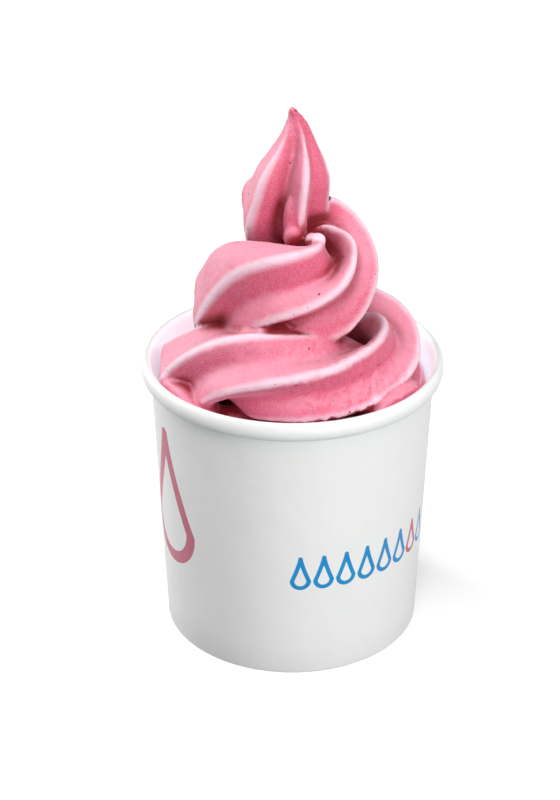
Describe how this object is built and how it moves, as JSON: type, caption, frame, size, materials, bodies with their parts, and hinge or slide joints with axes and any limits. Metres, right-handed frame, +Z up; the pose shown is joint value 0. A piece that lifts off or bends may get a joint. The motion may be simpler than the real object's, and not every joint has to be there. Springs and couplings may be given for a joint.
{
  "type": "frozen yogurt cup",
  "caption": "Paper cup with a rolled rim, filled with pink frozen yogurt piped as a fluted swirl that ends in a peak.",
  "frame": {"origin": "on the cup's axis, on the surface that its foot stands on", "axes": "+Z up along the cup's axis towards the peak, -Y towards the front, +X to the right"},
  "size_m": [0.098, 0.098, 0.1798],
  "materials": {
    "paper": "satin coated white paperboard with a plain pink drop outline and a row of small plain drop outlines in blue",
    "yogurt": "soft satin frozen yogurt, pale on its ridges and deep pink in its valleys, with fine fruit specks"
  },
  "bodies": {
    "root": {"cup_wall": "paper", "cup_base": "paper", "frozen_yogurt": "yogurt"}
  },
  "joints": []
}
